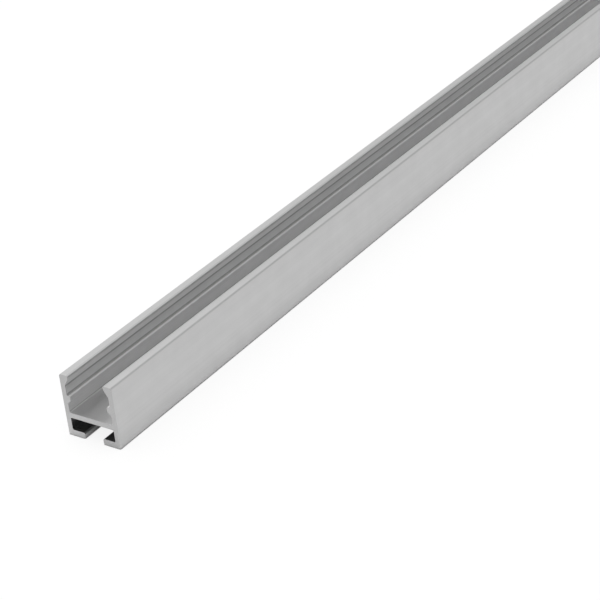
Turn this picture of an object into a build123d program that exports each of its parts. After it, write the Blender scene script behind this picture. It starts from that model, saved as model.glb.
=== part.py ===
import os

from build123d import *

# One length of anodised aluminium extrusion: an open light channel with a slot in its back.
# Millimetres. X runs across the profile, Y along it and Z up. The origin is under the middle
# of the length, on the plane that the foot of the profile rests on.

# Stock length, and the outside of the section
length = 1000.0
width = 16.0
height = 17.0
wall = 1.4

# The web is the floor of the channel, and the lid of the slot below it
web_top = 6.5
web_thickness = 1.5

# The foot: two flanges that leave the mouth of the slot open between them
flange_thickness = 1.6
mouth_width = 5.6

# Snap lips along the rims of the channel, which hold down a clip-in cover
snap_reach = 1.25
snap_nose_height = 0.85
snap_taper_height = 2.1

# Ridges half-way up the inside of the walls, which the cover's legs stand on
ridge_reach = 1.0
ridge_top = 11.35
ridge_top_slope = 0.05
ridge_tip_height = 1.4
ridge_height = 2.3

# Radii of the die: outside corners, inside corners, free edges, and the roots of lips and ridges
rim_radius = 0.5
foot_radius = 0.3
channel_corner_radius = 0.4
slot_corner_radius = 0.4
flange_tip_radius = 0.5
snap_edge_radius = 0.25
ridge_edge_radius = 0.2
root_radius = 0.2

# Places that several features share
half_width = width / 2
inner_face = half_width - wall
web_bottom = web_top - web_thickness
mouth_edge = mouth_width / 2
snap_face = inner_face - snap_reach
snap_nose_bottom = height - snap_nose_height
snap_root = snap_nose_bottom - snap_taper_height
ridge_face = inner_face - ridge_reach
ridge_tip_top = ridge_top - ridge_top_slope
ridge_tip_bottom = ridge_tip_top - ridge_tip_height
ridge_bottom = ridge_top - ridge_height


def corner_pair(x, z):
    """The two corners of the section at height z, at a distance x either side of its middle."""
    return section.vertices().filter_by(
        lambda corner: abs(abs(corner.X) - x) < 1e-5 and abs(corner.Y - z) < 1e-5
    )


with BuildPart() as channel_profile:
    with BuildSketch(Plane.XZ) as section:
        # The outside, with the channel opened into its top
        Rectangle(width, height, align=(Align.CENTER, Align.MIN))
        with Locations((0, web_top)):
            Rectangle(
                2 * inner_face, height - web_top, align=(Align.CENTER, Align.MIN), mode=Mode.SUBTRACT
            )

        # The slot under the web, and its mouth between the flanges
        with Locations((0, flange_thickness)):
            Rectangle(
                2 * inner_face,
                web_bottom - flange_thickness,
                align=(Align.CENTER, Align.MIN),
                mode=Mode.SUBTRACT,
            )
        Rectangle(mouth_width, flange_thickness, align=(Align.CENTER, Align.MIN), mode=Mode.SUBTRACT)

        # A snap lip and a ridge on the right wall, and their mirror images on the left one
        with BuildLine():
            Polyline(
                (inner_face, height),
                (snap_face, height),
                (snap_face, snap_nose_bottom),
                (inner_face, snap_root),
                close=True,
            )
        snap_lip = make_face()
        with BuildLine():
            Polyline(
                (inner_face, ridge_top),
                (ridge_face, ridge_tip_top),
                (ridge_face, ridge_tip_bottom),
                (inner_face, ridge_bottom),
                close=True,
            )
        ridge = make_face()
        mirror([snap_lip, ridge], about=Plane.YZ)

        # Outside corners, along the rims and along the foot
        fillet(corner_pair(half_width, height), rim_radius)
        fillet(corner_pair(half_width, 0), foot_radius)

        # Inside corners of the channel and of the slot
        fillet(corner_pair(inner_face, web_top), channel_corner_radius)
        fillet(
            corner_pair(inner_face, web_bottom) + corner_pair(inner_face, flange_thickness),
            slot_corner_radius,
        )

        # Free edges of the flanges, the snap lips and the ridges
        fillet(corner_pair(mouth_edge, 0) + corner_pair(mouth_edge, flange_thickness), flange_tip_radius)
        fillet(corner_pair(snap_face, height) + corner_pair(snap_face, snap_nose_bottom), snap_edge_radius)
        fillet(
            corner_pair(ridge_face, ridge_tip_top) + corner_pair(ridge_face, ridge_tip_bottom),
            ridge_edge_radius,
        )

        # Roots of the snap lips and the ridges, where they leave the walls
        fillet(
            corner_pair(inner_face, snap_root)
            + corner_pair(inner_face, ridge_top)
            + corner_pair(inner_face, ridge_bottom),
            root_radius,
        )
    extrude(amount=length / 2, both=True)

os.makedirs("parts", exist_ok=True)
channel_profile.part.label = "channel_profile"
export_step(channel_profile.part, "parts/channel_profile.step")
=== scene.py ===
"""Looks of a light channel in satin anodised aluminium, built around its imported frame.

Metres, in the frame's own axes: X runs across the profile, Y along it and Z up.
"""

import logging
import math
from dataclasses import dataclass, field, replace
from enum import Enum

import bpy
from mathutils import Matrix, Vector
from mathutils.geometry import delaunay_2d_cdt


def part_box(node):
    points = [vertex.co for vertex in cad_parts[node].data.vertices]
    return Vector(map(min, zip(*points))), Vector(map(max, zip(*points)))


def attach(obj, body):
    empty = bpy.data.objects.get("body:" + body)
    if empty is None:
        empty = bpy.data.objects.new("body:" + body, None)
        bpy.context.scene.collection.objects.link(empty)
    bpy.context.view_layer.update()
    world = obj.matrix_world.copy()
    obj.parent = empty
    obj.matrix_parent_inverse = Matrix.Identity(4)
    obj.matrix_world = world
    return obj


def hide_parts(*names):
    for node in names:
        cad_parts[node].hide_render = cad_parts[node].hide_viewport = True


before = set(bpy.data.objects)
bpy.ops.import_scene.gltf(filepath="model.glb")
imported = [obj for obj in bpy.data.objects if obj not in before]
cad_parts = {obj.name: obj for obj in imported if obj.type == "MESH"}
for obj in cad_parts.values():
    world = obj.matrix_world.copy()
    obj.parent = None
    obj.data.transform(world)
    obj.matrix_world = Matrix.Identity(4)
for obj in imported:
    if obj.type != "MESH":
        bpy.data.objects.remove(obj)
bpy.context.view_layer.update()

MM = 0.001
NODE = "channel_profile"
BODY = "root"

# Name of the surface's map, and of the number that each point of the mesh carries for the light and
# shade painted into its finish
MAP_NAME = "OFBake"
PAINTED_LIGHT_NAME = "shift"

# Usual sizes of the die's lines, of the etched pits and of the clouds in the anodising
LINE_WIDTH = 0.14 * MM
LINE_LENGTH = 250 * MM
GRAIN_SIZE = 0.08 * MM
CLOUD_SIZE = 6 * MM

# Blender's noise nearly always lies between these two values
NOISE_SPAN = (0.3, 0.7)

# The kind of filling that gives triangles inside an outline
TRIANGLES_INSIDE = 1

log = logging.getLogger("light_channel")


class Face(Enum):
    """Which finish a face of the profile carries, by material slot."""

    OUTSIDE = 0
    # The walls' material is a lighter copy of the same anodising, as painted light
    WALL = 1
    SEAT = 2
    # The slot's material is a darker copy of the same anodising, as painted shade
    SLOT = 3
    SAWN = 4


class Change(Enum):
    """The course of a change from one number to another, under Blender's name for it."""

    EVEN = "LINEAR"
    SOFT = "SMOOTHSTEP"


@dataclass(frozen=True)
class Corner:
    """A corner of the section before it is rounded.

    Attributes:
        x: Distance from the middle of the profile.
        z: Height above the foot.
        radius: Radius that the die gives it.
        face: Finish of the flat that leads away from it.
        painted_edge: How strongly light and shade are painted on its rounding, from 0 to 1.
        crease_shade: How strongly shade is painted round it, from 0 to 1.
    """

    x: float
    z: float
    radius: float
    face: Face
    painted_edge: float = 0.0
    crease_shade: float = 0.0


@dataclass(frozen=True)
class Station:
    """One point of the rounded outline.

    Attributes:
        place: Where it is, as (x, z).
        normal: The way the surface faces there.
        shift: Up to 1 on a rounded edge with painted light and shade, down to -1 where shade is
            painted into a crease.
        face: Finish of the stretch that starts here.
    """

    place: Vector
    normal: Vector
    shift: float
    face: Face


@dataclass(frozen=True)
class Ring:
    """One ring of points round the profile.

    Attributes:
        along: Its place along Y.
        inset: How far it is drawn into the metal.
        lean: Angle by which its normals lean along Y.
    """

    along: float
    inset: float = 0.0
    lean: float = 0.0


@dataclass
class ChannelSection:
    """The section of the extrusion, as the die draws it.

    Attributes:
        width: Width over both walls.
        height: Height from the foot to the rims.
        wall: Thickness of the walls.
        web_top: Height of the web's top above the foot.
        web_thickness: Thickness of the web, between the channel and the slot.
        flange_thickness: Thickness of the two flanges under the slot.
        mouth_width: Width of the slot's mouth, between the flanges.
        snap_reach: How far a snap lip stands out of its wall.
        snap_nose_height: Height of a snap lip's flat nose.
        snap_taper_height: Height of the slope under the nose.
        ridge_reach: How far a ridge stands out of its wall.
        ridge_top: Height of a ridge's top above the foot, at its root.
        ridge_top_slope: How far that top falls towards the tip.
        ridge_tip_height: Height of a ridge's flat tip.
        ridge_height: Height of a ridge at its root.
        rim_radius: Radius of the outside corners along the rims.
        foot_radius: Radius of the outside corners along the foot.
        channel_corner_radius: Radius between the web's top and the walls.
        slot_corner_radius: Radius of the slot's inside corners.
        flange_tip_radius: Radius of the flanges' free edges.
        snap_edge_radius: Radius of the snap lips' edges.
        ridge_edge_radius: Radius of the ridges' edges.
        root_radius: Radius where snap lips and ridges leave the walls.
        crease_shade_reach: How far the painted shade fades out beyond a corner that holds it.
        arc_step: Largest turn of one step round a corner.
        fewest_steps: Fewest steps round a corner.
    """

    width: float
    height: float
    wall: float = 1.4 * MM
    web_top: float = 6.5 * MM
    web_thickness: float = 1.5 * MM
    flange_thickness: float = 1.6 * MM
    mouth_width: float = 5.6 * MM
    snap_reach: float = 1.25 * MM
    snap_nose_height: float = 0.85 * MM
    snap_taper_height: float = 2.1 * MM
    ridge_reach: float = 1.0 * MM
    ridge_top: float = 11.35 * MM
    ridge_top_slope: float = 0.05 * MM
    ridge_tip_height: float = 1.4 * MM
    ridge_height: float = 2.3 * MM
    rim_radius: float = 0.5 * MM
    foot_radius: float = 0.3 * MM
    channel_corner_radius: float = 0.4 * MM
    slot_corner_radius: float = 0.4 * MM
    flange_tip_radius: float = 0.5 * MM
    snap_edge_radius: float = 0.25 * MM
    ridge_edge_radius: float = 0.2 * MM
    root_radius: float = 0.2 * MM
    crease_shade_reach: float = 0.4 * MM
    arc_step: float = math.radians(9.0)
    fewest_steps: int = 3

    def right_half(self) -> list[Corner]:
        """Lists the corners of the right half, clockwise from the web's top to its underside.

        Returns:
            The corners, without the two points in the middle of the web.
        """
        outside = self.width / 2
        inside = outside - self.wall
        snap_face = inside - self.snap_reach
        nose_bottom = self.height - self.snap_nose_height
        snap_root = nose_bottom - self.snap_taper_height
        ridge_face = inside - self.ridge_reach
        tip_top = self.ridge_top - self.ridge_top_slope
        tip_bottom = tip_top - self.ridge_tip_height
        mouth_edge = self.mouth_width / 2
        # painted_edge paints a highlight on the walls' ridge and lip edges, and shade on the
        # outside's rims and foot
        return [
            Corner(inside, self.web_top, self.channel_corner_radius, Face.WALL),
            Corner(inside, self.ridge_top - self.ridge_height, self.root_radius, Face.WALL),
            Corner(ridge_face, tip_bottom, self.ridge_edge_radius, Face.WALL, painted_edge=1.0),
            Corner(ridge_face, tip_top, self.ridge_edge_radius, Face.WALL),
            # crease_shade paints shade into the roots of the ridges and snap lips, and along the
            # rims' inner edges
            Corner(inside, self.ridge_top, self.root_radius, Face.WALL, crease_shade=1.0),
            Corner(inside, snap_root, self.root_radius, Face.WALL, crease_shade=1.0),
            Corner(snap_face, nose_bottom, self.snap_edge_radius, Face.WALL, painted_edge=0.2),
            Corner(snap_face, self.height, self.snap_edge_radius, Face.OUTSIDE, crease_shade=0.6),
            Corner(outside, self.height, self.rim_radius, Face.OUTSIDE, painted_edge=1.0),
            Corner(outside, 0.0, self.foot_radius, Face.OUTSIDE, painted_edge=1.0),
            Corner(mouth_edge, 0.0, self.flange_tip_radius, Face.OUTSIDE),
            Corner(mouth_edge, self.flange_thickness, self.flange_tip_radius, Face.SLOT),
            Corner(inside, self.flange_thickness, self.slot_corner_radius, Face.SLOT),
            Corner(inside, self.web_top - self.web_thickness, self.slot_corner_radius, Face.SLOT),
        ]

    def corners(self) -> list[Corner]:
        """Lists all corners of the section, clockwise as seen from the near end.

        Returns:
            The right half, then its mirror image in the opposite order.
        """
        right = self.right_half()
        left = []
        for number in range(len(right) - 1, -1, -1):
            corner = right[number]
            leaving = right[number - 1].face if number else Face.SEAT
            left.append(replace(corner, x=-corner.x, face=leaving))
        return right + left

    def outline(self) -> list[Station]:
        """Rounds the corners into the section's outline.

        Returns:
            The stations of the closed outline, clockwise as seen from the near end.
        """
        corners = self.corners()
        stations = []
        for number, corner in enumerate(corners):
            following = corners[(number + 1) % len(corners)]
            stations += self.rounded(corners[number - 1], corner, following)
        return stations

    def rounded(self, previous: Corner, corner: Corner, following: Corner) -> list[Station]:
        """Turns one corner into an arc of stations.

        Args:
            previous: The corner before it.
            corner: The corner to round.
            following: The corner after it.

        Returns:
            The stations, in the outline's order.
        """
        here = Vector((corner.x, corner.z))
        arriving = (here - Vector((previous.x, previous.z))).normalized()
        leaving = (Vector((following.x, following.z)) - here).normalized()
        before = Vector((-arriving.y, arriving.x))
        after = Vector((-leaving.y, leaving.x))
        turn = before.angle_signed(after)
        side = 1.0 if turn > 0 else -1.0
        start = here - arriving * corner.radius * math.tan(abs(turn) / 2)
        centre = start - before * corner.radius * side
        steps = max(self.fewest_steps, math.ceil(abs(turn) / self.arc_step))
        arc = []
        for step in range(steps + 1):
            normal = before.copy()
            normal.rotate(Matrix.Rotation(-turn * step / steps, 2))
            place = centre + normal * corner.radius * side
            # The number paints light and shade: painted_edge on the arc's inner points, minus
            # crease_shade all round it
            painted_edge = corner.painted_edge if 0 < step < steps else 0.0
            arc.append(Station(place, normal, painted_edge - corner.crease_shade, corner.face))
        if not corner.crease_shade:
            return arc
        reached = arc[0].place - arriving * self.crease_shade_reach
        left = arc[-1].place + leaving * self.crease_shade_reach
        return [
            Station(reached, before, 0.0, previous.face),
            *arc,
            Station(left, after, 0.0, corner.face),
        ]


class Wiring:
    """Adds nodes to one node tree and joins them.

    Attributes:
        tree: The node tree that it works on.
    """

    def __init__(self, tree: bpy.types.NodeTree) -> None:
        """Starts on a node tree."""
        self.tree = tree

    def node(self, kind: str, inputs: dict | None = None, **settings: object) -> bpy.types.Node:
        """Adds a node.

        Args:
            kind: Blender's name of the node type.
            inputs: Values or sockets for its inputs, by name or number.
            settings: Properties of the node.

        Returns:
            The new node.
        """
        made = self.tree.nodes.new(kind)
        for name, value in settings.items():
            setattr(made, name, value)
        for name, value in (inputs or {}).items():
            self.feed(made.inputs[name], value)
        return made

    def feed(self, socket: bpy.types.NodeSocket, value: object) -> None:
        """Joins an input to a socket, or sets its value.

        Args:
            socket: The input.
            value: Another socket, or a plain value.
        """
        if isinstance(value, bpy.types.NodeSocket):
            self.tree.links.new(value, socket)
        else:
            socket.default_value = value

    def math(self, operation: str, first: object, second: object = 0.0) -> bpy.types.NodeSocket:
        """Adds a sum of one or two numbers, under Blender's name for it."""
        return self.node("ShaderNodeMath", {0: first, 1: second}, operation=operation).outputs[0]

    def vector_math(self, operation: str, first: object, second: object) -> bpy.types.Node:
        """Adds a sum of two vectors, under Blender's name for it."""
        return self.node("ShaderNodeVectorMath", {0: first, 1: second}, operation=operation)

    def average(self, first: object, second: object) -> bpy.types.NodeSocket:
        """Adds the average of two numbers."""
        return self.math("MULTIPLY", self.math("ADD", first, second), 0.5)

    def ramp(
        self,
        value: object,
        span: tuple[float, float],
        ends: tuple[object, object] = (0.0, 1.0),
        change: Change = Change.EVEN,
    ) -> bpy.types.NodeSocket:
        """Adds a change from one number to another.

        Args:
            value: What the change follows.
            span: Where it starts and ends.
            ends: The numbers there.
            change: The course that it takes.

        Returns:
            The changing number.
        """
        inputs = {
            "Value": value,
            "From Min": span[0],
            "From Max": span[1],
            "To Min": ends[0],
            "To Max": ends[1],
        }
        made = self.node("ShaderNodeMapRange", inputs, interpolation_type=change.value)
        return made.outputs["Result"]

    def spread(self, mask: object, low: object, high: object) -> bpy.types.NodeSocket:
        """Stretches a mask from 0 to 1 between two numbers."""
        return self.ramp(mask, (0.0, 1.0), (low, high))

    def waver(self, mask: object, middle: float, reach: float) -> bpy.types.NodeSocket:
        """Moves a number with a mask, as far below its middle as above it."""
        return self.spread(mask, middle - reach, middle + reach)

    def noise(self, place: object, scale: object, detail: float) -> bpy.types.NodeSocket:
        """Adds a noise pattern with finer layers, stretched so that it fills 0 to 1."""
        made = self.node("ShaderNodeTexNoise", {"Vector": place, "Scale": scale, "Detail": detail})
        return self.ramp(made.outputs["Fac"], NOISE_SPAN)

    def grey(self, tone: object) -> bpy.types.NodeSocket:
        """Turns a tone into a plain grey."""
        made = self.node("ShaderNodeCombineColor", {"Red": tone, "Green": tone, "Blue": tone})
        return made.outputs["Color"]

    def mix(self, share: object, first: object, second: object) -> bpy.types.NodeSocket:
        """Mixes two shaders, with all of the second where the share is 1."""
        return self.node("ShaderNodeMixShader", {0: share, 1: first, 2: second}).outputs[0]

    def metal(self, tone: object, roughness: object, normal: object) -> None:
        """Makes the surface metal.

        Args:
            tone: Grey of the metal.
            roughness: Its roughness.
            normal: Its normal, with its bumps.
        """
        inputs = {
            "Base Color": self.grey(tone),
            "Metallic": 1.0,
            "Roughness": roughness,
            "Normal": normal,
        }
        self.surface(self.node("ShaderNodeBsdfPrincipled", inputs).outputs["BSDF"])

    def surface(self, shader: bpy.types.NodeSocket) -> None:
        """Makes a shader the surface of the material."""
        self.node("ShaderNodeOutputMaterial", {"Surface": shader})


def empty_material(name: str) -> tuple[bpy.types.Material, Wiring]:
    """Starts a material.

    Args:
        name: Name of the material.

    Returns:
        The material, and the wiring of its empty node tree.
    """
    made = bpy.data.materials.new(name)
    made.use_nodes = True
    made.node_tree.nodes.clear()
    return made, Wiring(made.node_tree)


def group_sockets(tree: bpy.types.NodeTree, inputs: dict[str, float], outputs: list[str]) -> None:
    """Gives a node group its sockets.

    Args:
        tree: The node group.
        inputs: Default of each number input, by name. A vector input named Place comes first.
        outputs: Names of the number outputs.
    """
    tree.interface.new_socket("Place", in_out="INPUT", socket_type="NodeSocketVector")
    for name, default in inputs.items():
        made = tree.interface.new_socket(name, in_out="INPUT", socket_type="NodeSocketFloat")
        made.default_value = default
    for name in outputs:
        tree.interface.new_socket(name, in_out="OUTPUT", socket_type="NodeSocketFloat")


@dataclass(frozen=True)
class DieLines:
    """The fine lines that the die leaves along the metal.

    Attributes:
        line_detail: How many finer layers the lines have.
        tone_scale: How many bands of tone there are to a line.
        tone_detail: How many finer layers the bands have.
    """

    line_detail: float = 3.0
    tone_scale: float = 0.17
    tone_detail: float = 2.0

    def group(self) -> bpy.types.NodeTree:
        """Builds the node group.

        Returns:
            A group with the lines' height and a slower tone across the section.
        """
        tree = bpy.data.node_groups.new("die_lines", "ShaderNodeTree")
        sizes = {"Line Width": LINE_WIDTH, "Line Length": LINE_LENGTH}
        group_sockets(tree, sizes, ["Height", "Tone"])
        wiring = Wiring(tree)
        given = wiring.node("NodeGroupInput").outputs
        across = wiring.math("DIVIDE", 1.0, given["Line Width"])
        along = wiring.math("DIVIDE", 1.0, given["Line Length"])
        shrink = wiring.node("ShaderNodeCombineXYZ", {"X": across, "Y": along, "Z": across})
        place = wiring.vector_math("MULTIPLY", given["Place"], shrink.outputs[0]).outputs["Vector"]
        out = wiring.node("NodeGroupOutput")
        wiring.feed(out.inputs["Height"], wiring.noise(place, 1.0, self.line_detail))
        wiring.feed(out.inputs["Tone"], wiring.noise(place, self.tone_scale, self.tone_detail))
        return tree


@dataclass(frozen=True)
class EtchGrain:
    """The fine pits and soft clouds of an etched and anodised surface.

    Attributes:
        grain_detail: How many finer layers the pits have.
        cloud_detail: How many finer layers the clouds have.
    """

    grain_detail: float = 2.0
    cloud_detail: float = 3.0

    def group(self) -> bpy.types.NodeTree:
        """Builds the node group.

        Returns:
            A group with the pits' height and the clouds' tone.
        """
        tree = bpy.data.node_groups.new("etch_grain", "ShaderNodeTree")
        sizes = {"Grain Size": GRAIN_SIZE, "Cloud Size": CLOUD_SIZE}
        group_sockets(tree, sizes, ["Height", "Tone"])
        wiring = Wiring(tree)
        given = wiring.node("NodeGroupInput").outputs
        grains = wiring.math("DIVIDE", 1.0, given["Grain Size"])
        clouds = wiring.math("DIVIDE", 1.0, given["Cloud Size"])
        height = wiring.noise(given["Place"], grains, self.grain_detail)
        tone = wiring.noise(given["Place"], clouds, self.cloud_detail)
        out = wiring.node("NodeGroupOutput")
        wiring.feed(out.inputs["Height"], height)
        wiring.feed(out.inputs["Tone"], tone)
        return tree


@dataclass(frozen=True)
class Effects:
    """The node groups that the finishes share.

    Attributes:
        die_lines: The group that draws the die's lines.
        etch_grain: The group that draws pits and clouds.
    """

    die_lines: bpy.types.NodeTree
    etch_grain: bpy.types.NodeTree


@dataclass(frozen=True)
class SatinFinish:
    """Etched and anodised aluminium as it leaves the die.

    Attributes:
        name: Name of the material.
        tone: Grey of the metal.
        tone_spread: How far lines and clouds move the grey.
        painted_edge_tone: Grey painted on rounded edges: a painted highlight where it is lighter
            than the tone, painted shade where it is darker.
        crease_shade_tone: Grey of the shade painted into creases.
        roughness: Middle roughness.
        roughness_spread: How far the lines move the roughness.
        line_width: Usual width of the die's lines.
        line_length: Usual length of the die's lines.
        line_depth: Depth of the die's lines.
        grain_size: Usual size of the etched pits.
        grain_depth: Depth of the etched pits.
        cloud_size: Usual size of the clouds.
    """

    name: str
    tone: float
    tone_spread: float
    painted_edge_tone: float
    crease_shade_tone: float
    roughness: float
    roughness_spread: float
    line_width: float = LINE_WIDTH
    line_length: float = LINE_LENGTH
    line_depth: float = 0.002 * MM
    grain_size: float = GRAIN_SIZE
    grain_depth: float = 0.0015 * MM
    cloud_size: float = CLOUD_SIZE

    def material(self, effects: Effects) -> bpy.types.Material:
        """Builds the material.

        Args:
            effects: The node groups that the finishes share.

        Returns:
            The new material.
        """
        made, wiring = empty_material(self.name)
        place = wiring.node("ShaderNodeTexCoord").outputs["Object"]
        lines = wiring.node(
            "ShaderNodeGroup",
            {"Place": place, "Line Width": self.line_width, "Line Length": self.line_length},
            node_tree=effects.die_lines,
        ).outputs
        grain = wiring.node(
            "ShaderNodeGroup",
            {"Place": place, "Grain Size": self.grain_size, "Cloud Size": self.cloud_size},
            node_tree=effects.etch_grain,
        ).outputs
        uneven = wiring.average(lines["Tone"], grain["Tone"])
        tone = wiring.waver(uneven, self.tone, self.tone_spread)
        # Painted light and shade: rounded edges take the painted edge grey, lighter as a highlight
        # on the walls and darker as shade outside, and creases take the painted crease shade
        shift = wiring.node("ShaderNodeAttribute", attribute_name=PAINTED_LIGHT_NAME).outputs["Fac"]
        crease_shade = wiring.math("MULTIPLY", shift, -1.0)
        tone = wiring.spread(shift, tone, self.painted_edge_tone)
        tone = wiring.spread(crease_shade, tone, self.crease_shade_tone)
        roughness = wiring.waver(lines["Height"], self.roughness, self.roughness_spread)
        pits = {"Distance": self.grain_depth, "Height": grain["Height"]}
        pitted = wiring.node("ShaderNodeBump", pits).outputs["Normal"]
        scores = {"Distance": self.line_depth, "Height": lines["Height"], "Normal": pitted}
        scored = wiring.node("ShaderNodeBump", scores).outputs["Normal"]
        wiring.metal(tone, roughness, scored)
        return made


@dataclass(frozen=True)
class SawnFinish:
    """Bare metal where the length was sawn off.

    Attributes:
        name: Name of the material.
        tone: Grey of the metal.
        tone_spread: How far the saw's marks move the grey.
        roughness: Roughness of the metal.
        blade_radius: Radius of the saw blade.
        blade_x: How far to the side the blade's axis was.
        mark_pitch: Usual distance from one mark of the saw to the next.
        mark_depth: Depth of the marks.
        mark_detail: How many finer layers the marks have.
        grain_size: Usual size of the metal's grain.
        cloud_size: Usual size of its clouds.
    """

    name: str
    tone: float
    tone_spread: float
    roughness: float
    blade_radius: float = 175 * MM
    blade_x: float = 120 * MM
    mark_pitch: float = 0.22 * MM
    mark_depth: float = 0.003 * MM
    mark_detail: float = 3.0
    grain_size: float = GRAIN_SIZE
    cloud_size: float = CLOUD_SIZE

    def material(self, effects: Effects) -> bpy.types.Material:
        """Builds the material.

        Args:
            effects: The node groups that the finishes share.

        Returns:
            The new material.
        """
        made, wiring = empty_material(self.name)
        place = wiring.node("ShaderNodeTexCoord").outputs["Object"]
        grain = wiring.node(
            "ShaderNodeGroup",
            {"Place": place, "Grain Size": self.grain_size, "Cloud Size": self.cloud_size},
            node_tree=effects.etch_grain,
        ).outputs
        drop = math.sqrt(self.blade_radius**2 - self.blade_x**2)
        axis = (self.blade_x, 0.0, -drop)
        flat = wiring.vector_math("MULTIPLY", place, (1.0, 0.0, 1.0)).outputs["Vector"]
        away = wiring.vector_math("DISTANCE", flat, axis).outputs["Value"]
        sweep = wiring.node("ShaderNodeCombineXYZ", {"X": away}).outputs[0]
        marks = wiring.noise(sweep, 1 / self.mark_pitch, self.mark_detail)
        uneven = wiring.average(marks, grain["Tone"])
        tone = wiring.waver(uneven, self.tone, self.tone_spread)
        bump = wiring.node("ShaderNodeBump", {"Distance": self.mark_depth, "Height": marks})
        wiring.metal(tone, self.roughness, bump.outputs["Normal"])
        return made


FINISHES = {
    # Outside: the darker edge grey is painted shade on the rims and foot, and the crease grey
    # painted shade along the rims' inner edges
    Face.OUTSIDE: SatinFinish(
        name="outside_anodised",
        tone=0.595,
        tone_spread=0.025,
        painted_edge_tone=0.56,
        crease_shade_tone=0.40,
        roughness=0.38,
        roughness_spread=0.03,
    ),
    # Walls: a lighter copy of the same anodising, painted light in the channel; the lighter edge
    # grey is a painted highlight on ridge and lip edges, the crease grey painted shade in the roots
    Face.WALL: SatinFinish(
        name="wall_anodised_painted_light",
        tone=0.88,
        tone_spread=0.04,
        painted_edge_tone=0.95,
        crease_shade_tone=0.45,
        roughness=0.36,
        roughness_spread=0.03,
    ),
    Face.SEAT: SatinFinish(
        name="seat_anodised",
        tone=0.60,
        tone_spread=0.02,
        painted_edge_tone=0.62,
        crease_shade_tone=0.45,
        roughness=0.36,
        roughness_spread=0.03,
    ),
    # Slot: a darker copy of the same anodising, painted shade inside the slot
    Face.SLOT: SatinFinish(
        name="slot_anodised_painted_shade",
        tone=0.35,
        tone_spread=0.03,
        painted_edge_tone=0.37,
        crease_shade_tone=0.33,
        roughness=0.30,
        roughness_spread=0.04,
    ),
    Face.SAWN: SawnFinish(name="sawn_end", tone=0.52, tone_spread=0.05, roughness=0.42),
}


@dataclass(frozen=True)
class UnrolledMap:
    """A map of the profile's surface, unrolled so that its narrow faces get most of the room.

    The faces along the length share one area, with the length across it and the outline up it.
    The two ends lie side by side above them.

    Attributes:
        margin: Space left free round each area.
        side_top: Where the area of the long faces ends.
        end_bottom: Where the areas of the ends start.
        ends_split: Where the area of the far end starts, to the right of the near end's.
        eased_width: Width that each step of an eased edge gets.
        arc_stretch: How much more room a rounded corner gets than a flat of its length.
        flat_limit: How far the cosine of a turn may fall below 1 on a flat.
    """

    margin: float = 0.005
    side_top: float = 0.845
    end_bottom: float = 0.86
    ends_split: float = 0.5
    eased_width: float = 0.004
    arc_stretch: float = 3.0
    flat_limit: float = 1e-6

    def across(self, rings: list[Ring], eased: int) -> list[float]:
        """Places the rings of points.

        Args:
            rings: The rings, from the near end to the far one.
            eased: How many steps there are to an eased edge.

        Returns:
            The place of each ring, in the same order.
        """
        last = len(rings) - 1
        start = self.margin + eased * self.eased_width
        near = rings[eased].along
        far = rings[last - eased].along
        places = []
        for number, ring in enumerate(rings):
            if number < eased:
                places.append(self.margin + number * self.eased_width)
            elif number > last - eased:
                places.append(1 - self.margin - (last - number) * self.eased_width)
            else:
                places.append(start + (ring.along - near) / (far - near) * (1 - 2 * start))
        return places

    def up(self, outline: list[Station]) -> list[float]:
        """Places the stations of the outline, from the top of their area down.

        Args:
            outline: The stations.

        Returns:
            The place of each station, and once more that of the first, where the outline closes.
        """
        gone = [0.0]
        for number, station in enumerate(outline):
            following = outline[(number + 1) % len(outline)]
            length = (following.place - station.place).length
            turning = station.normal.dot(following.normal) < 1 - self.flat_limit
            gone.append(gone[-1] + length * (self.arc_stretch if turning else 1.0))
        height = self.side_top - self.margin
        return [self.side_top - height * length / gone[-1] for length in gone]

    def on_end(self, point: Vector, facing: float, section: ChannelSection) -> tuple[float, float]:
        """Places a point of a sawn end.

        Args:
            point: The point.
            facing: The way the end faces along Y, -1 for the near end and 1 for the far one.
            section: The section, which gives the size of the end.

        Returns:
            Its place on the map.
        """
        share = 0.5 - facing * point.x / section.width
        left = self.margin if facing < 0 else self.ends_split + self.margin
        wide = self.ends_split - 2 * self.margin
        tall = 1 - self.margin - self.end_bottom
        return left + wide * share, self.end_bottom + tall * point.z / section.height


@dataclass
class Facets:
    """The faces of a mesh while it is being made.

    Attributes:
        corners: Numbers of each face's points.
        slots: Each face's material slot.
        normals: The normal at each corner of each face, face after face.
        spots: Its place on the map, in the same order.
    """

    corners: list[list[int]] = field(default_factory=list)
    slots: list[int] = field(default_factory=list)
    normals: list[tuple[float, float, float]] = field(default_factory=list)
    spots: list[tuple[float, float]] = field(default_factory=list)


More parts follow.
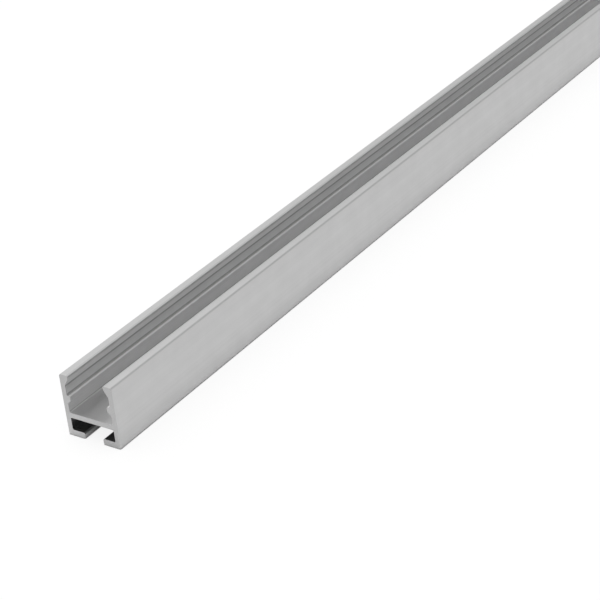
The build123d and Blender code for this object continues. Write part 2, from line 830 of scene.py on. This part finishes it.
@dataclass
class ChannelProfile:
    """One sawn length of the extrusion.

    Attributes:
        section: The section that the die gives it.
        near: Where it starts, along Y.
        far: Where it ends, along Y.
        deburr: How far the sawn edges are eased.
        deburr_steps: Steps in which an eased edge turns.
        ring_pitch: Distance from one ring of points to the next.
        nearest: Distance under which two points of an end would count as one.
        layout: The map of its surface.
    """

    section: ChannelSection
    near: float
    far: float
    deburr: float = 0.15 * MM
    deburr_steps: int = 3
    ring_pitch: float = 25 * MM
    nearest: float = 0.0001 * MM
    layout: UnrolledMap = UnrolledMap()

    def rings(self) -> list[Ring]:
        """Lists the rings of points along the length.

        Returns:
            The rings, from the near end to the far one.
        """
        eased = []
        for step in range(self.deburr_steps + 1):
            lean = math.pi / 2 * (1 - step / self.deburr_steps)
            along = self.deburr * (1 - math.sin(lean))
            inset = self.deburr * (1 - math.cos(lean))
            eased.append(Ring(along, inset, lean))
        straight = self.far - self.near - 2 * self.deburr
        count = round(straight / self.ring_pitch)
        pitch = straight / count
        near = [Ring(self.near + ring.along, ring.inset, -ring.lean) for ring in eased]
        middle = [Ring(self.near + self.deburr + pitch * number) for number in range(1, count)]
        far = [Ring(self.far - ring.along, ring.inset, ring.lean) for ring in reversed(eased)]
        return near + middle + far

    def points(self, outline: list[Station], rings: list[Ring]) -> list[tuple[float, float, float]]:
        """Places the points of the mesh.

        Args:
            outline: The stations of the section.
            rings: The rings along the length.

        Returns:
            The points, ring after ring.
        """
        made = []
        for ring in rings:
            for station in outline:
                drawn = station.place - station.normal * ring.inset
                made.append((drawn.x, ring.along, drawn.y))
        return made

    def add_sides(self, facets: Facets, outline: list[Station], rings: list[Ring]) -> None:
        """Adds the faces along the length, with the exact normals of the section.

        Args:
            facets: The faces so far.
            outline: The stations of the section.
            rings: The rings along the length.
        """
        across = self.layout.across(rings, self.deburr_steps)
        up = self.layout.up(outline)
        count = len(outline)
        for start in range(len(rings) - 1):
            eased = rings[start].lean != 0.0 or rings[start + 1].lean != 0.0
            for number, station in enumerate(outline):
                corners = []
                for row, step in ((start, 0), (start, 1), (start + 1, 1), (start + 1, 0)):
                    column = (number + step) % count
                    flat = outline[column].normal
                    upright = math.cos(rings[row].lean)
                    normal = (flat.x * upright, math.sin(rings[row].lean), flat.y * upright)
                    corners.append(row * count + column)
                    facets.normals.append(normal)
                    facets.spots.append((across[row], up[number + step]))
                facets.corners.append(corners)
                facets.slots.append(Face.SAWN.value if eased else station.face.value)

    def add_end(self, facets: Facets, rim: list[Vector], first: int, facing: float) -> None:
        """Fills one sawn end with triangles.

        Args:
            facets: The faces so far.
            rim: The points round the end.
            first: Number of the first of them in the mesh.
            facing: The way the end faces along Y, -1 for the near end and 1 for the far one.
        """
        flat_rim = [Vector((point.x, point.z)) for point in rim]
        order = list(range(len(rim)))
        filled = delaunay_2d_cdt(flat_rim, [], [order], TRIANGLES_INSIDE, self.nearest)
        _, _, triangles, originals, _, _ = filled
        for corners in triangles:
            triangle = [originals[corner][0] for corner in corners]
            here, second, third = (rim[corner] for corner in triangle)
            if (second - here).cross(third - here).y * facing < 0:
                triangle.reverse()
            for corner in triangle:
                facets.normals.append((0.0, facing, 0.0))
                facets.spots.append(self.layout.on_end(rim[corner], facing, self.section))
            facets.corners.append([first + corner for corner in triangle])
            facets.slots.append(Face.SAWN.value)

    def mesh(self) -> bpy.types.Mesh:
        """Builds the mesh, with its normals, its map and the shift of its finish.

        Returns:
            The new mesh.
        """
        outline = self.section.outline()
        rings = self.rings()
        points = self.points(outline, rings)
        facets = Facets()
        self.add_sides(facets, outline, rings)
        for row, facing in ((0, -1.0), (len(rings) - 1, 1.0)):
            first = row * len(outline)
            rim = [Vector(point) for point in points[first : first + len(outline)]]
            self.add_end(facets, rim, first, facing)
        made = bpy.data.meshes.new(NODE + "_looks")
        made.from_pydata(points, [], facets.corners)
        made.polygons.foreach_set("material_index", facets.slots)
        made.polygons.foreach_set("use_smooth", [True] * len(facets.corners))
        made.normals_split_custom_set(facets.normals)
        unrolled = made.uv_layers.new(name=MAP_NAME)
        unrolled.uv.foreach_set("vector", [value for spot in facets.spots for value in spot])
        # Each point carries how much light and shade is painted on it, for the finishes to read
        shift = made.attributes.new(PAINTED_LIGHT_NAME, "FLOAT", "POINT")
        shift.data.foreach_set("value", [station.shift for station in outline] * len(rings))
        made.update()
        return made

    def build(self, effects: Effects) -> bpy.types.Object:
        """Builds and dresses the piece, and sets it on its body.

        Args:
            effects: The node groups that the finishes share.

        Returns:
            The finished piece.
        """
        made = bpy.data.objects.new("profile", self.mesh())
        bpy.context.scene.collection.objects.link(made)
        for face in Face:
            made.data.materials.append(FINISHES[face].material(effects))
        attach(made, BODY)
        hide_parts(NODE)
        return made


@dataclass
class StudioFloor:
    """The pale floor that the profile lies on.

    Attributes:
        half_side: Half the side of the square.
        drop: How far below the foot it lies, so that the two don't share a plane.
        colour: Grey of the floor.
        own_white: Share of plain white that cameras, metal and glass see in it.
        mirrored_white: Strength of that white where metal and glass mirror it.
        contact: Width of the contact shadow painted into the floor where something stands on it.
        contact_samples: Rays that look for what stands there.
        resting: Length of a reflection from a face that lies on the floor, which only shows from
            below, where the floor itself doesn't.
        near_reach: Length of a reflection that sees only the floor's true shade.
        far_reach: Length from which a reflection sees it as a camera does.
    """

    half_side: float = 30.0
    drop: float = 0.03 * MM
    colour: float = 0.94
    own_white: float = 0.86
    mirrored_white: float = 0.84
    contact: float = 0.3 * MM
    contact_samples: int = 4
    resting: float = 0.07 * MM
    near_reach: float = 0.3 * MM
    far_reach: float = 22 * MM

    def build(self) -> bpy.types.Object:
        """Builds the floor.

        Returns:
            The floor.
        """
        side = self.half_side
        square = ((-side, -side), (side, -side), (side, side), (-side, side))
        corners = [(x, y, -self.drop) for x, y in square]
        mesh = bpy.data.meshes.new("floor")
        mesh.from_pydata(corners, [], [(0, 1, 2, 3)])
        made = bpy.data.objects.new("floor", mesh)
        bpy.context.scene.collection.objects.link(made)
        mesh.materials.append(self.material())
        return made

    def material(self) -> bpy.types.Material:
        """Builds the floor's material, which shows nothing from below.

        Returns:
            The new material.
        """
        made, wiring = empty_material("pale_floor")
        made.cycles.emission_sampling = "NONE"
        path = wiring.node("ShaderNodeLightPath").outputs
        to_camera = path["Is Camera Ray"]
        length = path["Ray Length"]

        # Close to what stands on it, a contact shadow is painted into the floor's grey, and the
        # floor shows less of its own white
        contact = {"Distance": self.contact}
        open_to_sky = wiring.node(
            "ShaderNodeAmbientOcclusion", contact, samples=self.contact_samples
        ).outputs["AO"]
        shade = wiring.grey(wiring.math("MULTIPLY", open_to_sky, self.colour))
        beyond_contact_shadow = wiring.math("MULTIPLY", open_to_sky, open_to_sky)

        # A camera sees that white at once, and a reflection sees more of it the longer it is
        direct = wiring.math("MULTIPLY", to_camera, beyond_contact_shadow)
        mirrored = wiring.math("MAXIMUM", path["Is Glossy Ray"], path["Is Transmission Ray"])
        reach = wiring.ramp(length, (self.near_reach, self.far_reach))
        seen = wiring.math("MAXIMUM", direct, wiring.math("MULTIPLY", mirrored, reach))
        seen = wiring.math("MAXIMUM", seen, wiring.math("LESS_THAN", length, self.resting))
        share = wiring.math("MULTIPLY", seen, self.own_white)

        diffuse = wiring.node("ShaderNodeBsdfDiffuse", {"Color": shade}).outputs[0]
        strength = wiring.spread(to_camera, self.mirrored_white, 1.0)
        white = wiring.node("ShaderNodeEmission", {"Strength": strength}).outputs[0]
        below = wiring.node("ShaderNodeNewGeometry").outputs["Backfacing"]
        clear = wiring.node("ShaderNodeBsdfTransparent").outputs[0]
        wiring.surface(wiring.mix(below, wiring.mix(share, diffuse, white), clear))
        return made


@dataclass
class StudioLight:
    """The plain pale room round the profile: a white horizon, dimmer walls and a bright ceiling.

    Attributes:
        horizon: Strength along the horizon.
        walls: Strength of the walls above it.
        glow: Strength that a large soft lamp adds on one side.
        towards: Direction of that lamp.
        overhead: Strength that the ceiling adds straight above.
        mirrored_overhead: Strength that it adds where metal mirrors it, so that a view from above
            shows the metal and not the lamp.
        wall_span: Heights of a direction, as sines, between which the horizon fades into the walls.
        glow_span: Cosines of the angle off the lamp between which its glow grows.
        ceiling_span: Heights of a direction, as sines, between which the ceiling grows.
    """

    horizon: float = 1.0
    walls: float = 0.54
    glow: float = 0.45
    towards: tuple[float, float, float] = (-0.74, 0.20, 0.64)
    overhead: float = 1.25
    mirrored_overhead: float = 0.5
    wall_span: tuple[float, float] = (0.05, 0.36)
    glow_span: tuple[float, float] = (0.55, 1.0)
    ceiling_span: tuple[float, float] = (0.60, 0.95)

    def build(self) -> bpy.types.World:
        """Builds the world.

        Returns:
            The new world.
        """
        made = bpy.data.worlds.new("studio")
        made.use_nodes = True
        made.node_tree.nodes.clear()
        wiring = Wiring(made.node_tree)
        direction = wiring.node("ShaderNodeTexCoord").outputs["Generated"]
        height = wiring.node("ShaderNodeSeparateXYZ", {0: direction}).outputs["Z"]
        facing = wiring.vector_math("DOT_PRODUCT", direction, self.towards).outputs["Value"]
        walls = wiring.ramp(height, self.wall_span, (self.horizon, self.walls), Change.SOFT)
        lamp = wiring.ramp(facing, self.glow_span, (0.0, self.glow), Change.SOFT)
        mirrored = wiring.node("ShaderNodeLightPath").outputs["Is Glossy Ray"]
        above = wiring.spread(mirrored, self.overhead, self.mirrored_overhead)
        ceiling = wiring.ramp(height, self.ceiling_span, change=Change.SOFT)
        ceiling = wiring.math("MULTIPLY", ceiling, above)
        strength = wiring.math("ADD", wiring.math("ADD", walls, lamp), ceiling)
        sky = wiring.node("ShaderNodeBackground", {"Strength": strength})
        wiring.feed(sky.inputs["Color"], (1.0, 1.0, 1.0, 1.0))
        wiring.node("ShaderNodeOutputWorld", {"Surface": sky.outputs[0]})
        made.cycles.sampling_method = "NONE"
        bpy.context.scene.world = made
        return made


@dataclass
class StudioCamera:
    """The camera, placed from the near end of the profile.

    Attributes:
        offset: Where it is, from the middle of the foot at the near end.
        heading: Turn from looking along the profile towards its left, in degrees.
        dip: How far it looks down, in degrees.
        roll: How far it leans, in degrees.
        lens: Focal length in millimetres.
        sensor: Width of the sensor in millimetres.
        nearest: Nearest distance that it sees.
        farthest: Farthest distance that it sees.
    """

    offset: tuple[float, float, float] = (259.12 * MM, -264.95 * MM, 234.09 * MM)
    heading: float = 36.21
    dip: float = 28.76
    roll: float = -5.98
    lens: float = 108.47
    sensor: float = 36.0
    nearest: float = 0.01
    farthest: float = 100.0

    def build(self, near: float) -> bpy.types.Object:
        """Builds the camera and makes it the scene's own.

        Args:
            near: Where the near end is, along Y.

        Returns:
            The camera.
        """
        data = bpy.data.cameras.new("camera")
        data.lens = self.lens
        data.sensor_width = self.sensor
        data.clip_start = self.nearest
        data.clip_end = self.farthest
        made = bpy.data.objects.new("camera", data)
        bpy.context.scene.collection.objects.link(made)
        made.matrix_world = (
            Matrix.Translation(Vector(self.offset) + Vector((0.0, near, 0.0)))
            @ Matrix.Rotation(math.radians(self.heading), 4, "Z")
            @ Matrix.Rotation(math.radians(90.0 - self.dip), 4, "X")
            @ Matrix.Rotation(math.radians(self.roll), 4, "Z")
        )
        bpy.context.scene.camera = made
        return made


def main() -> None:
    """Builds the profile, the floor, the light and the camera."""
    logging.basicConfig(level=logging.INFO, format="%(name)s: %(message)s")
    bpy.context.scene.view_settings.view_transform = "Standard"
    low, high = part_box(NODE)
    section = ChannelSection(width=high.x - low.x, height=high.z - low.z)
    effects = Effects(DieLines().group(), EtchGrain().group())
    piece = ChannelProfile(section, low.y, high.y).build(effects)
    mesh = piece.data
    log.info("%s: %d points, %d faces", piece.name, len(mesh.vertices), len(mesh.polygons))
    floor = StudioFloor().build()
    log.info("%s: %.0f m square", floor.name, 2 * StudioFloor.half_side)
    StudioLight().build()
    StudioCamera().build(low.y)


if __name__ == "__main__":
    main()
